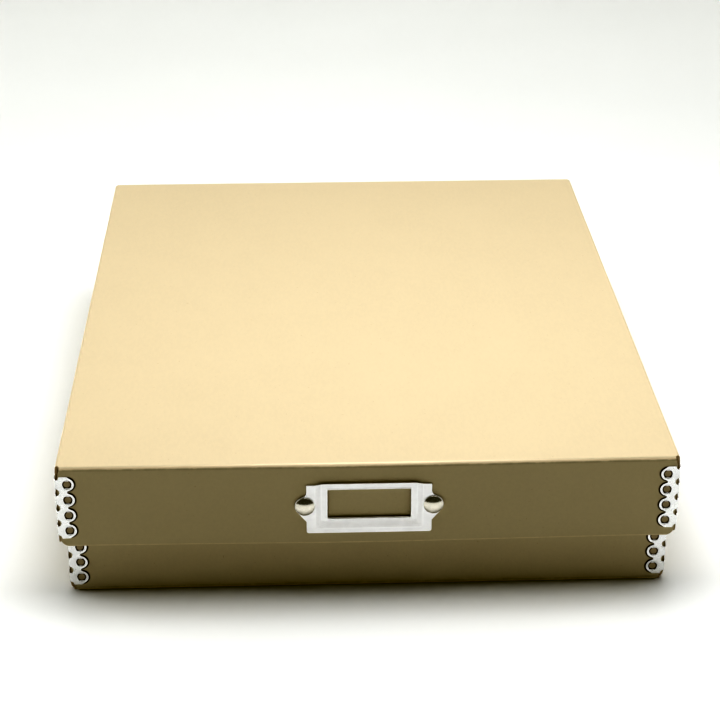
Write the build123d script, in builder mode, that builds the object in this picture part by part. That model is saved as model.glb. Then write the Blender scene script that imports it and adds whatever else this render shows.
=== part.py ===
"""Archival box with metal-edge corners.

Two trays of solid board, each one scored blank folded up on four sides. The walls stop short
of each other at the corners, and perforated steel strips bent round the corners hold them
together with prongs clinched inside. The lid slips down over the base and carries a stamped
card holder, fixed to its front wall by two split pins.

The origin is the centre of the base's underside. +Z is up and the front wall faces -Y.
All sizes are in millimetres.
"""

import math
import os

from build123d import *

# Box board and trays
board = 1.5  # thickness of the board
fold_inner_radius = 0.8  # inside radius of every fold
base_width = 297.5  # outside, left to right
base_length = 399.5  # outside, front to back
base_height = 69.3  # outside height of the base walls
lid_clearance = 2.25  # gap between a base wall and the lid wall over it
lid_rest_gap = 0.2  # gap between the base's rim and the lid's panel
lid_height = 43.3  # outside height of the lid walls
front_bow = 1.6  # how far the middle of the lid's front wall stands out
bow_end = 14.0  # straight stretch at each end of that wall
base_relief = 3.4  # corner notch of the base, along the fold
lid_relief = 2.3  # corner notch of the lid, along the fold
relief_height = 4.9  # the notch narrows to the wall's end over this height
wall_end = 1.0  # distance from a wall's end to the next wall's outer face
free_round = 4.5  # radius of the walls' free corners

# Corner strips
steel = 0.3  # thickness of the strip
strip_fit = 0.2  # room between the bend and the ends of the walls
hole_pitch = 8.5
hole_radius = 2.2
bend_hole_radius = 1.9  # of the staggered row on the bend
hole_line = 6.1  # from the strip's outer face to the centres of the holes on a leg
lobe_radius = 3.45  # round outline about each hole
notch_width = 0.9  # width of the notch between two lobes, at its root
base_strip_margin = 3.6  # from the base's underside to the strip
lid_strip_margin = 4.8  # from the lid's top to the strip
strip_end_room = 3.0  # least distance from the strip to the free edge of the wall
prong_width = 2.0
prong_tab = 1.8  # length of the prong's clinched end
prong_fit = 0.1  # room round a prong in its slot

# Card holder
holder_sheet = 0.5
holder_width = 61.5
holder_height = 27.6
holder_bottom = 33.6  # height of its lower edge above the base's underside
holder_corner = 1.2
pocket_depth = 1.2  # room for a card behind the raised face
window_side = 10.4  # from the holder's sides to the window
window_sill = 8.9  # from the holder's lower edge to the window
window_head = 3.3  # from the window to the holder's upper edge
window_corner = 0.6
face_side = 3.1  # raised face beside the window
face_below = 2.2  # raised face below the window
ramp = 3.0  # run of the slope from the flange up to the raised face
shoulder_drop = 1.2  # from the raised face's upper edge down to the flange's
ear_out = 0.7  # from the holder's side to the centre of its ear
ear_radius = 5.0
ear_blend = 3.0  # hollow curve between the upper side and the ear
ear_slope = 40.0  # degrees below level where the ear's straight lower flank leaves its round

# Split pins
pin_rise = 15.0  # height of the pins above the holder's lower edge
pin_hole_radius = 1.6
head_radius = 4.75
head_height = 2.2
head_rim = 0.3  # straight edge below the dome
leg_width = 2.4
leg_thickness = 0.4
leg_length = 9.0
leg_fit = 0.1  # gap between a leg and the wall's inner face

# Worked out from the sizes above
fold_radius = board + fold_inner_radius
lid_width = base_width + 2 * (lid_clearance + board)
lid_length = base_length + 2 * (lid_clearance + board)
lid_top = base_height + lid_rest_gap + board
bend_inner = wall_end - strip_fit
front_face = -lid_length / 2 - front_bow
pin_height = holder_bottom + pin_rise
pin_spacing = holder_width + 2 * ear_out
pin_places = {"left": -pin_spacing / 2, "right": pin_spacing / 2}
base_holes = int((base_height - base_strip_margin - strip_end_room) / hole_pitch)
lid_holes = int((lid_height - lid_strip_margin - strip_end_room) / hole_pitch)


def tray_plan(width, length, bow, inset):
    """A tray's outline from above, drawn inside its outer faces by the inset."""
    x, y = width / 2 - inset, length / 2 - inset
    with BuildSketch() as plan:
        with BuildLine():
            if bow:
                start = width / 2 - bow_end
                Line((-x, -y), (-start, -y))
                Spline((-start, -y), (0, -y - bow), (start, -y), tangents=((1, 0), (1, 0)))
                Line((start, -y), (x, -y))
            else:
                Line((-x, -y), (x, -y))
            Polyline((x, -y), (x, y), (-x, y), (-x, -y))
        make_face()
    return plan.sketch


def folded_tray(width, length, height, bow, relief, margin, holes):
    """A folded blank with its panel on z = 0 and its four walls standing up from it."""
    walls = (
        (Plane((0, -length / 2, 0), x_dir=(1, 0, 0), z_dir=(0, -1, 0)), width / 2),
        (Plane((width / 2, 0, 0), x_dir=(0, 1, 0), z_dir=(1, 0, 0)), length / 2),
        (Plane((0, length / 2, 0), x_dir=(-1, 0, 0), z_dir=(0, 1, 0)), width / 2),
        (Plane((-width / 2, 0, 0), x_dir=(0, -1, 0), z_dir=(-1, 0, 0)), length / 2),
    )
    with BuildPart() as tray:
        with BuildSketch():
            add(tray_plan(width, length, bow, 0))
        extrude(amount=height)
        fillet(tray.faces().sort_by(Axis.Z)[0].edges(), fold_radius)
        with BuildSketch(Plane.XY.offset(board)):
            add(tray_plan(width, length, bow, board))
        extrude(amount=height, mode=Mode.SUBTRACT)

        # A mitred slit up each corner, so that neighbouring walls don't meet
        with BuildSketch(Plane.XY.offset(board)):
            for side in (-1, 1):
                for end in (-1, 1):
                    with Locations((side * width / 2, end * length / 2)):
                        Rectangle(6 * board, wall_end * math.sqrt(2), rotation=45 * side * end)
        extrude(amount=height, mode=Mode.SUBTRACT)

        for wall, half_span in walls:
            # The notch where two folds meet, narrowing up the wall
            with BuildSketch(wall):
                for end in (-1, 1):
                    Polygon(
                        (end * (half_span + 1), -1),
                        (end * (half_span - relief), -1),
                        (end * (half_span - relief), fold_radius / 2),
                        (end * (half_span - wall_end), relief_height),
                        (end * (half_span + 1), relief_height),
                        align=None,
                    )
            extrude(amount=-relief, mode=Mode.SUBTRACT)
            # The rounded corners of the free edge
            with BuildSketch(wall):
                for end in (-1, 1):
                    with Locations((end * (half_span - wall_end), height)):
                        Rectangle(2 * free_round, 2 * free_round)
                    with Locations((end * (half_span - wall_end - free_round), height - free_round)):
                        Circle(free_round, mode=Mode.SUBTRACT)
                        Rectangle(
                            2 * free_round, 3 * free_round,
                            align=(Align.MAX if end > 0 else Align.MIN, Align.CENTER),
                            mode=Mode.SUBTRACT,
                        )
                    with Locations((end * half_span, height - free_round)):
                        Rectangle(
                            4 * free_round, free_round, align=(Align.CENTER, Align.MAX),
                            mode=Mode.SUBTRACT,
                        )
            extrude(amount=-board, mode=Mode.SUBTRACT)
            # Slots for the prongs of the corner strips
            with BuildSketch(wall):
                for end in (-1, 1):
                    for hole in range(holes):
                        for edge in (-1, 1):
                            x = end * (half_span - hole_line + steel)
                            z = margin + (hole + 0.5) * hole_pitch + edge * (hole_radius - steel / 2)
                            with Locations((x, z)):
                                Rectangle(prong_width + 2 * prong_fit, steel + 2 * prong_fit)
            extrude(amount=-2 * board, mode=Mode.SUBTRACT)
    return tray.part


def lobe_flank(reach):
    """Where a line from the hole line, at that height from the hole, touches the lobe."""
    angle = math.acos(lobe_radius / reach)
    return lobe_radius * math.sin(angle), lobe_radius * math.cos(angle)


def corner_strip(holes):
    """A strip bent round a corner whose walls run along +X and +Y from the origin."""
    length = holes * hole_pitch
    centre_line = hole_line - steel
    diagonal = Plane((0, 0, 0), x_dir=(1, 1, 0), z_dir=(1, -1, 0))
    facing = Plane((0, 0, 0), x_dir=(1, -1, 0), z_dir=(-1, -1, 0))
    bend_outer = bend_inner + steel
    middle_reach = bend_outer + bend_hole_radius - bend_outer * math.pi / 4
    with BuildPart() as strip:
        # Half the bend and the leg as far as the hole line, seen from above
        with BuildSketch():
            with BuildLine():
                Line((centre_line, -steel / 2), (bend_inner, -steel / 2))
                CenterArc((bend_inner, bend_inner), bend_inner + steel / 2, 270, -45)
            trace(line_width=steel)
        extrude(amount=length)
        # Lobes beyond the hole line
        with BuildSketch(Plane.XZ):
            for hole in range(holes):
                z = (hole + 0.5) * hole_pitch
                below = hole_pitch / 2 - (notch_width / 2 if hole else 0)
                above = hole_pitch / 2 - (notch_width / 2 if hole < holes - 1 else 0)
                low_x, low_z = lobe_flank(below)
                high_x, high_z = lobe_flank(above)
                with Locations((centre_line, z)):
                    Circle(lobe_radius)
                    Polygon(
                        (0, -below), (low_x, -low_z), (high_x, high_z), (0, above),
                        (-1, 0), align=None,
                    )
        extrude(amount=steel)
        # Holes along the leg, and the staggered row on the bend
        with BuildSketch(Plane.XZ):
            for hole in range(holes):
                with Locations((centre_line, (hole + 0.5) * hole_pitch)):
                    Circle(hole_radius)
        extrude(amount=steel, mode=Mode.SUBTRACT)
        with BuildSketch(facing):
            for hole in range(holes + 1):
                with Locations((0, hole * hole_pitch)):
                    Ellipse(middle_reach / math.sqrt(2), bend_hole_radius)
        extrude(amount=hole_line, both=True, mode=Mode.SUBTRACT)
        # Prongs through the board, turned over on its inner face
        for hole in range(holes):
            for edge in (-1, 1):
                z = (hole + 0.5) * hole_pitch + edge * (hole_radius - steel / 2)
                with Locations((centre_line, -steel, z)):
                    Box(
                        prong_width, board + 2 * steel, steel,
                        align=(Align.CENTER, Align.MIN, Align.CENTER),
                    )
                with Locations((centre_line, board, z + edge * (prong_tab - steel) / 2)):
                    Box(prong_width, steel, prong_tab, align=(Align.CENTER, Align.MIN, Align.CENTER))
        mirror(about=diagonal)
    return strip.part


def write_piece(part, name):
    """Labels a finished piece and writes its STEP file."""
    part.label = name
    export_step(part, f"parts/{name}.step")


def write_corners(strip, tray_name, width, length, bottom):
    """Places a strip at each of a tray's corners, as four separate pieces."""
    corners = {"fl": (-1, -1, 0), "fr": (1, -1, 90), "br": (1, 1, 180), "bl": (-1, 1, 270)}
    for name, (side, end, turn) in corners.items():
        place = Location((side * width / 2, end * length / 2, bottom), (0, 0, turn))
        with BuildPart() as corner:
            with Locations(place):
                add(strip)
        write_piece(corner.part, f"{tray_name}_corner_{name}")


os.makedirs("parts", exist_ok=True)

# The base stands as it is folded
with BuildPart() as base_tray:
    add(
        folded_tray(
            base_width, base_length, base_height, 0, base_relief, base_strip_margin, base_holes
        )
    )
write_piece(base_tray.part, "base_tray")
write_corners(corner_strip(base_holes), "base", base_width, base_length, base_strip_margin)

# The lid is turned over, with its panel on top, and has two holes for the split pins
turned_over = Plane((0, 0, lid_top), x_dir=(-1, 0, 0), z_dir=(0, 0, -1))
front = Plane((0, front_face, 0), x_dir=(1, 0, 0), z_dir=(0, -1, 0))
with BuildPart() as lid_tray:
    with Locations(turned_over.location):
        add(
            folded_tray(
                lid_width, lid_length, lid_height, front_bow, lid_relief, lid_strip_margin, lid_holes
            )
        )
    with BuildSketch(front):
        for x in pin_places.values():
            with Locations((x, pin_height)):
                Circle(pin_hole_radius)
    extrude(amount=board + front_bow, both=True, mode=Mode.SUBTRACT)
write_piece(lid_tray.part, "lid_tray")
lid_strip_bottom = lid_top - lid_strip_margin - lid_holes * hole_pitch
write_corners(corner_strip(lid_holes), "lid", lid_width, lid_length, lid_strip_bottom)

# The card holder: a flange flat on the wall, and a raised face that is open at the top
window_bottom = holder_bottom + window_sill
holder_top = holder_bottom + holder_height
window_width = holder_width - 2 * window_side
window_height = holder_height - window_sill - window_head
face_width = window_width + 2 * face_side
face_bottom = window_bottom - face_below
ear_x = pin_spacing / 2
flank = math.radians(ear_slope)
flank_top = (ear_x + ear_radius * math.cos(flank), pin_height - ear_radius * math.sin(flank))
flank_run = flank_top[0] - holder_width / 2
flank_foot = (holder_width / 2, flank_top[1] - flank_run / math.tan(flank))


def raised_block(depth, rise):
    """A block with sloping sides and foot, from that depth out to that depth plus the rise."""
    with BuildPart() as block:
        with BuildSketch(front.offset(depth)):
            with Locations((0, face_bottom - ramp)):
                Rectangle(
                    face_width + 2 * ramp, holder_top - face_bottom + ramp,
                    align=(Align.CENTER, Align.MIN),
                )
        with BuildSketch(front.offset(depth + rise)):
            with Locations((0, face_bottom)):
                Rectangle(face_width, holder_top - face_bottom, align=(Align.CENTER, Align.MIN))
        loft()
    return block.part


with BuildPart() as label_holder:
    with BuildSketch(front):
        with Locations((0, holder_bottom)):
            RectangleRounded(
                holder_width, holder_height, holder_corner, align=(Align.CENTER, Align.MIN)
            )
        for side in (-1, 1):
            with Locations((side * ear_x, pin_height)):
                Circle(ear_radius)
            Polygon(
                (side * holder_width / 2, pin_height),
                (side * flank_top[0], flank_top[1]),
                (side * flank_foot[0], flank_foot[1]),
                (side * (holder_width / 2 - 1), pin_height),
                align=None,
            )
    extrude(amount=holder_sheet)
    add(raised_block(holder_sheet, pocket_depth))
    add(raised_block(0, pocket_depth), mode=Mode.SUBTRACT)
    ear_corners = label_holder.edges().filter_by(Axis.Y).filter_by(
        lambda edge: abs(abs(edge.center().X) - holder_width / 2) < holder_corner / 2
        and edge.center().Z > pin_height
        and edge.center().Z < pin_height + ear_radius + 1
    )
    fillet(ear_corners, ear_blend)
    with BuildSketch(front):
        with Locations((0, window_bottom)):
            RectangleRounded(
                window_width, window_height, window_corner, align=(Align.CENTER, Align.MIN)
            )
        for x in pin_places.values():
            with Locations((x, pin_height)):
                Circle(pin_hole_radius)
        # Shoulders: the flange ends lower than the raised face
        for side in (-1, 1):
            Polygon(
                (side * face_width / 2, holder_top),
                (side * (face_width / 2 + ramp), holder_top - shoulder_drop),
                (side * (holder_width / 2 + 1), holder_top - shoulder_drop),
                (side * (holder_width / 2 + 1), holder_top),
                align=None,
            )
    extrude(amount=pocket_depth + 2 * holder_sheet, mode=Mode.SUBTRACT)
write_piece(label_holder.part, "label_holder")

# The split pins: a domed head on the holder's ear, and two legs spread behind the wall.
# The bow is less at a pin than in the wall's middle, so the wall is that much further back.
dome_height = head_height - head_rim
dome_radius = (head_radius**2 + dome_height**2) / (2 * dome_height)
pin_share = pin_spacing / (lid_width - 2 * bow_end)
wall_back = front_bow * (3 * pin_share**2 - 2 * pin_share**3)
leg_face = front_face + wall_back + board + leg_fit
head_seat = front_face - holder_sheet
for side, x in pin_places.items():
    with BuildPart() as pin:
        with BuildSketch(Plane((x, head_seat, pin_height), x_dir=(1, 0, 0), z_dir=(0, 0, 1))):
            with BuildLine():
                Polyline((0, -head_height), (0, 0), (head_radius, 0), (head_radius, -head_rim))
                RadiusArc((head_radius, -head_rim), (0, -head_height), dome_radius)
            make_face()
        revolve(axis=Axis((x, head_seat, pin_height), (0, 1, 0)))
        with Locations((x, head_seat, pin_height)):
            Box(
                leg_width, leg_face + leg_thickness - head_seat, 2 * leg_thickness,
                align=(Align.CENTER, Align.MIN, Align.CENTER),
            )
        with Locations((x, leg_face, pin_height)):
            Box(
                leg_width, leg_thickness, 2 * leg_length,
                align=(Align.CENTER, Align.MIN, Align.CENTER),
            )
        fillet(
            pin.edges().filter_by(Axis.Y).filter_by(
                lambda edge: abs(edge.center().Z - pin_height) > leg_length - leg_thickness
            ),
            leg_width / 3,
        )
    write_piece(pin.part, f"holder_pin_{side}")
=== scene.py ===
"""Archival box with metal-edge corners: the looks of its board, steel and plated pieces.

Every piece is a sheet or a turned form worked out from a few sizes and from the frame. A board
tray is one folded sheet, a corner strip is a perforated sheet bent round its corner, and the
card holder is a stamped sheet. Lengths are in metres. The front wall faces -Y and +Z is up.
"""

import functools
import math

import bpy
import numpy as np
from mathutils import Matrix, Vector


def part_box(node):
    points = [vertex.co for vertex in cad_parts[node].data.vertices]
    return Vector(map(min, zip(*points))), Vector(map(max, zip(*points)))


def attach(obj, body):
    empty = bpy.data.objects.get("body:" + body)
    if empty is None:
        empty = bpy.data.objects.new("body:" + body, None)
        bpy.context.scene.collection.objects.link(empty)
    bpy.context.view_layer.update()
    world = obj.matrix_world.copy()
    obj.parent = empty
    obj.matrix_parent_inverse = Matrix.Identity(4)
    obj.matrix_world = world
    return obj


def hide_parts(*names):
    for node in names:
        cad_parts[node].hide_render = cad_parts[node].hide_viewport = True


bl_info = {
    "name": "Archival box",
    "version": (1, 0, 0),
    "blender": (4, 5, 0),
    "location": "3D View > Sidebar > Archival box",
    "description": "Builds a metal-edge archival box with a lift-off lid and a card holder",
    "category": "Add Mesh",
}

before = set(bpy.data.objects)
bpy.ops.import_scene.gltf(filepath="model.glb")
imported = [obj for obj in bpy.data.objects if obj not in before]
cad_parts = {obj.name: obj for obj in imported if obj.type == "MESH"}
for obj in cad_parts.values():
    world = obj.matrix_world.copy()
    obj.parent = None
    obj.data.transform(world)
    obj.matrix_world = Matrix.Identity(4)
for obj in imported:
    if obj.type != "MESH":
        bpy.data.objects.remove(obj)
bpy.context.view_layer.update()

MM = 0.001
CORNERS = {"fl": (-1, -1), "fr": (1, -1), "br": (1, 1), "bl": (-1, 1)}


# ---------------------------------------------------------------- settings


def length(name, description, millimetres, **more):
    """A length property whose default is given in millimetres."""
    return bpy.props.FloatProperty(
        name=name, description=description, default=millimetres * MM, unit="LENGTH", **more
    )


def colour(name, description, red, green, blue):
    """A colour property, in linear light."""
    return bpy.props.FloatVectorProperty(
        name=name, description=description, default=(red, green, blue), subtype="COLOR", size=3
    )


class BoardSettings(bpy.types.PropertyGroup):
    """The folded board trays."""

    thickness: length("Board", "Thickness of the box board", 1.5)
    fold_radius: length("Fold", "Outside radius of a scored fold", 1.6)
    wall_end: length("Wall end", "From a wall's end to the next wall's outer face", 1.0)
    free_round: length("Free corner", "Radius of a wall's free corners", 4.5)
    relief_height: length("Notch height", "Height over which a corner notch narrows", 4.9)
    base_relief: length("Base notch", "Width of the base's corner notches at the fold", 3.4)
    lid_relief: length("Lid notch", "Width of the lid's corner notches at the fold", 2.3)
    bow_end: length("Straight end", "Straight stretch at each end of the bowed wall", 14.0)
    groove: length("Score", "Depth of the score line beside a fold", 0.10)
    tan: colour("Tan", "Face of the board", 0.534, 0.465, 0.332)
    # Lighter face for the folds and free edges: partly stretching and wear of the board, partly a
    # painted highlight.
    wear_and_highlight: colour("Worn", "Face of the board where it is stretched or rubbed", 0.80, 0.69, 0.52)
    core: colour("Core", "Cut edge of the board", 0.52, 0.42, 0.29)


class StripSettings(bpy.types.PropertyGroup):
    """The perforated corner strips."""

    steel: length("Steel", "Thickness of the strip", 0.3)
    pitch: length("Pitch", "Distance between holes", 8.5)
    hole_radius: length("Hole", "Radius of a hole", 2.2)
    bend_hole: length("Bend hole", "Radius of the staggered holes on the bend", 1.9)
    hole_line: length("Hole line", "From the strip's outer face to the hole centres", 6.1)
    bend_radius: length("Bend", "Outside radius of the bend", 1.1)
    lobe_radius: length("Lobe", "Radius of the outline about a hole", 3.45)
    notch: length("Notch", "Width of the notch between lobes, at its root", 0.9)
    lip: length("Lip", "How far the edge of a hole is drawn into the board", 0.24)
    prong_width: length("Prong", "Width of a clinched prong", 2.0)
    prong_tab: length("Tab", "Length of a prong's turned end", 1.8)
    tone: colour("Steel", "Coated steel", 0.89, 0.89, 0.89)


class HolderSettings(bpy.types.PropertyGroup):
    """The stamped card holder and its split pins."""

    sheet: length("Sheet", "Thickness of the holder", 0.5)
    width: length("Width", "Width of the holder's body", 61.5)
    corner: length("Corner", "Radius of the body's corners", 1.2)
    pocket: length("Pocket", "Room for a card behind the raised face", 1.2)
    window_side: length("Side", "From the body's sides to the window", 10.4)
    window_sill: length("Sill", "From the body's lower edge to the window", 8.9)
    window_head: length("Head", "From the window to the body's upper edge", 3.3)
    face_side: length("Face side", "Raised face beside the window", 3.1)
    foot_drop: length("Foot", "From the window down to the start of the slope below it", 6.4)
    ramp: length("Ramp", "Run of the slope up to the raised face", 3.0)
    foot_run: length("Foot slope", "Run of the slope below the raised face", 5.2)
    shoulder: length("Shoulder", "From the raised face's upper edge down to the flange's", 1.2)
    ear_radius: length("Ear", "Radius of the round ears", 5.0)
    ear_out: length("Ear centre", "From the body's side to the centre of the ear", 0.7)
    ear_blend: length("Ear blend", "Hollow curve above the ear", 3.0)
    ear_slope: bpy.props.FloatProperty(
        name="Ear slope", description="Angle below level where the ear's straight flank starts",
        default=math.radians(40.0), subtype="ANGLE",
    )
    head_rim: length("Rim", "Straight edge below a pin's dome", 0.6)
    leg_width: length("Leg width", "Width of a pin's legs", 2.4)
    leg_thickness: length("Leg", "Thickness of a pin's legs", 0.4)
    plate: colour("Plate", "Plated steel of the holder", 0.93, 0.925, 0.93)
    nickel: colour("Nickel", "Nickel of the pins", 0.80, 0.77, 0.69)


class StudioSettings(bpy.types.PropertyGroup):
    """Floor, light and camera."""

    distance: length("Distance", "From the camera to the point it looks at", 1211.0)
    target: bpy.props.FloatVectorProperty(
        name="Target", description="The point that the camera looks at", size=3,
        default=(0.0049, 0.0416, 0.0133), subtype="XYZ", unit="LENGTH",
    )
    yaw: bpy.props.FloatProperty(
        name="Yaw", description="Turn of the camera towards +X", default=math.radians(2.18),
        subtype="ANGLE",
    )
    pitch: bpy.props.FloatProperty(
        name="Pitch", description="How far the camera looks down", default=math.radians(24.68),
        subtype="ANGLE",
    )
    lens: bpy.props.FloatProperty(
        name="Lens", description="Focal length in millimetres on a 36 mm sensor", default=99.3
    )
    key: bpy.props.FloatProperty(
        name="Key", description="Power of the key soft box, in watts", default=1.8
    )
    room_front: bpy.props.FloatProperty(
        name="Room in front", description="Brightness of the room before the box", default=0.13
    )
    room_back: bpy.props.FloatProperty(
        name="Room behind", description="Brightness of the room behind the box", default=2.05
    )
    black: bpy.props.FloatProperty(
        name="Black", description="Light level that prints black", default=0.051
    )
    contrast: bpy.props.FloatProperty(
        name="Contrast", description="Power of the print's tone curve", default=1.6
    )
    floor: colour("Floor", "Pale floor", 0.776, 0.785, 0.776)
    wall: colour("Wall", "Light of the pale wall far behind", 0.70, 0.71, 0.69)


# ---------------------------------------------------------------- meshes


def smooth(x):
    """A smooth step from 0 to 1 as x goes from 0 to 1: three x squared less two x cubed."""
    x = np.clip(x, 0.0, 1.0)
    return x * x * (3 - 2 * x)


def waves(x, seed, longest, count=5):
    """A gentle irregular line between about -1 and 1: a sum of sines, each of about half the
    last one's wavelength and height, with phases drawn from the seed."""
    draw = np.random.default_rng(seed)
    shorter, lower = 1.9, 1.7
    total = np.zeros_like(x)
    for step in range(count):
        wavelength = longest / shorter**step * draw.uniform(0.85, 1.15)
        phase = draw.uniform(0, 2 * np.pi)
        total = total + np.sin(2 * np.pi * x / wavelength + phase) / lower**step
    return total / 2


def grid_quads(index, flip=False, ring=False):
    """The quads of a grid of vertex numbers, turned over or closed into a ring if asked."""
    if ring:
        index = np.concatenate([index, index[:1]])
    a, b = index[:-1, :-1].ravel(), index[1:, :-1].ravel()
    c, d = index[1:, 1:].ravel(), index[:-1, 1:].ravel()
    return np.stack([a, d, c, b] if flip else [a, b, c, d], axis=1)


def weld(points, partner, quads, reach=2e-6):
    """Joins points that lie within reach of each other, and carries each one's partner along."""
    keys = np.round(points / reach).astype(np.int64)
    _, first, inverse = np.unique(keys, axis=0, return_index=True, return_inverse=True)
    quads = inverse.ravel()[quads]
    return points[first], partner[first], quads


def thick(outer, inner, quads):
    """Closes a sheet into a solid: the outer face as given, the inner face turned over, and a
    rim quad along every edge that only one quad of the sheet uses. Returns points, quads and a
    mark that is 1 on the rim."""
    count = len(outer)
    start, end = quads.ravel(), np.roll(quads, -1, axis=1).ravel()
    key = np.minimum(start, end) * count + np.maximum(start, end)
    _, which, uses = np.unique(key, return_inverse=True, return_counts=True)
    alone = (uses[which.ravel()] == 1) & (start != end)
    a, b = start[alone], end[alone]
    rim = np.stack([b, a, a + count, b + count], axis=1)
    faces = np.concatenate([quads, quads[:, ::-1] + count, rim])
    mark = np.zeros(len(faces), dtype=np.int32)
    mark[2 * len(quads):] = 1
    return np.concatenate([outer, inner]), faces, mark


def make_piece(name, parts, materials, sharp=35.0, bevel=0.0):
    """One mesh object from (points, quads, material number per quad) parts, with corners of
    repeated points dropped, smooth shading and an optional bevel on its sharp edges."""
    points, loops, sizes, slots = [], [], [], []
    offset = 0
    for part_points, part_quads, part_slots in parts:
        keep = part_quads != np.roll(part_quads, 1, axis=1)
        size = keep.sum(axis=1)
        good = size >= 3
        points.append(part_points)
        loops.append((part_quads + offset)[good][keep[good]])
        sizes.append(size[good])
        slots.append(np.broadcast_to(part_slots, len(part_quads))[good])
        offset += len(part_points)
    points, loops = np.concatenate(points), np.concatenate(loops)
    sizes, slots = np.concatenate(sizes), np.concatenate(slots)
    mesh = bpy.data.meshes.new(name)
    mesh.vertices.add(len(points))
    mesh.vertices.foreach_set("co", points.astype(np.float32).ravel())
    mesh.loops.add(len(loops))
    mesh.loops.foreach_set("vertex_index", loops.astype(np.int32))
    mesh.polygons.add(len(sizes))
    starts = np.concatenate([[0], np.cumsum(sizes)[:-1]])
    mesh.polygons.foreach_set("loop_start", starts.astype(np.int32))
    mesh.polygons.foreach_set("material_index", slots.astype(np.int32))
    mesh.update(calc_edges=True)
    mesh.validate()
    mesh.polygons.foreach_set("use_smooth", np.ones(len(mesh.polygons), dtype=bool))
    mesh.set_sharp_from_angle(angle=math.radians(sharp))
    for material in materials:
        mesh.materials.append(material)
    piece = bpy.data.objects.new(name, mesh)
    bpy.context.scene.collection.objects.link(piece)
    if bevel:
        round_off = piece.modifiers.new("rounded edges", "BEVEL")
        round_off.width = bevel
        round_off.segments = 2
        round_off.limit_method = "ANGLE"
        round_off.angle_limit = math.radians(sharp + 5)
    return piece


def settle(piece, body, node):
    """Puts a finished piece on its CAD body, in place of its node."""
    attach(piece, body)
    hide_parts(node)


# ---------------------------------------------------------------- materials


class Value:
    """A socket that carries a number, so that shader maths reads as plain arithmetic."""

    def __init__(self, shader, socket):
        self.shader, self.socket = shader, socket

    def maths(self, operation, other=0.0):
        """One Math node on this value and another."""
        return self.shader.maths(operation, self, other)

    def __add__(self, other):
        return self.maths("ADD", other)

    def __sub__(self, other):
        return self.maths("SUBTRACT", other)

    def __mul__(self, other):
        return self.maths("MULTIPLY", other)

    def __truediv__(self, other):
        return self.maths("DIVIDE", other)

    def __rsub__(self, other):
        return self.shader.maths("SUBTRACT", other, self)

    def __rtruediv__(self, other):
        return self.shader.maths("DIVIDE", other, self)

    def __abs__(self):
        return self.maths("ABSOLUTE")

    __radd__, __rmul__ = __add__, __mul__


class Shader:
    """A material, or the world, under construction, with one method for any node."""

    def __init__(self, name, kind="materials", surface="Principled BSDF"):
        self.made = getattr(bpy.data, kind).new(name)
        self.made.use_nodes = True
        self.tree = self.made.node_tree
        self.surface = self.tree.nodes[surface]

    def node(self, kind, settings, inputs, output=0):
        """Adds a node, with its settings first and then its sockets' values or links. Gives the
        named output, or a list for a tuple of names."""
        made = self.tree.nodes.new(kind)
        for name, value in settings.items():
            setattr(made, name, value)
        for name, value in inputs.items():
            self.feed(made.inputs[name], value)
        if isinstance(output, tuple):
            return [Value(self, made.outputs[name]) for name in output]
        return Value(self, made.outputs[output])

    def feed(self, socket, value):
        """Links a Value to a socket, or sets the socket to a number, vector or colour."""
        if isinstance(value, Value):
            self.tree.links.new(value.socket, socket)
        elif isinstance(value, tuple) and len(value) < len(socket.default_value):
            socket.default_value = (*value, 1.0)
        else:
            socket.default_value = value

    def maths(self, operation, first, second):
        """One Math node on two numbers or values."""
        return self.node("ShaderNodeMath", {"operation": operation}, {0: first, 1: second})

    def here(self, kind="Object"):
        """The coordinates of the point."""
        return self.node("ShaderNodeTexCoord", {}, {}, kind)

    def axes(self, kind="Object"):
        """The X, Y and Z of the point as numbers."""
        return self.node("ShaderNodeSeparateXYZ", {}, {0: self.here(kind)}, ("X", "Y", "Z"))

    def noise(self, size, detail=3.0, rough=0.55, stretch=(1.0, 1.0, 1.0)):
        """Cloudy noise about 0.5, with features of about that size in metres. They are longer
        along an axis whose stretch is below 1."""
        place = self.node("ShaderNodeMapping", {}, {"Vector": self.here(), "Scale": stretch})
        return self.node(
            "ShaderNodeTexNoise", {},
            {"Vector": place, "Scale": 1 / size, "Detail": detail, "Roughness": rough},
        )

    def ramp(self, value, low, high):
        """0 below low, 1 above high, and a smooth step between."""
        return self.node(
            "ShaderNodeMapRange", {"interpolation_type": "SMOOTHSTEP"},
            {"Value": value, "From Min": low, "From Max": high},
        )

    def near(self, distance, full, none):
        """1 within the full distance, 0 beyond the other, and a smooth step between."""
        return self.ramp(distance, none, full)

    def blend(self, share, first, second):
        """A colour between two colours, as far along as the share says."""
        return self.node(
            "ShaderNodeMix", {"data_type": "RGBA"}, {0: share, 6: first, 7: second}, 2
        )

    def cloudy(self, value, tint, darker, lighter):
        """A tint made darker and lighter by a noise."""
        return self.blend(self.ramp(value, 0.3, 0.7), shade(tint, darker), shade(tint, lighter))

    def bump(self, height, distance, strength, normal=None):
        """A normal bent by a height between 0 and 1, which stands for that many metres."""
        inputs = {"Height": height, "Distance": distance, "Strength": strength}
        if normal is not None:
            inputs["Normal"] = normal
        return self.node("ShaderNodeBump", {}, inputs, "Normal")

    def finish(self, **sockets):
        """Feeds the surface shader. Names are its sockets, with _ for a space."""
        for name, value in sockets.items():
            self.feed(self.surface.inputs[name.replace("_", " ")], value)
        return self.made


def shade(tint, factor):
    """A colour made lighter or darker by a factor."""
    return tuple(min(1.0, part * factor) for part in tint)


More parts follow.
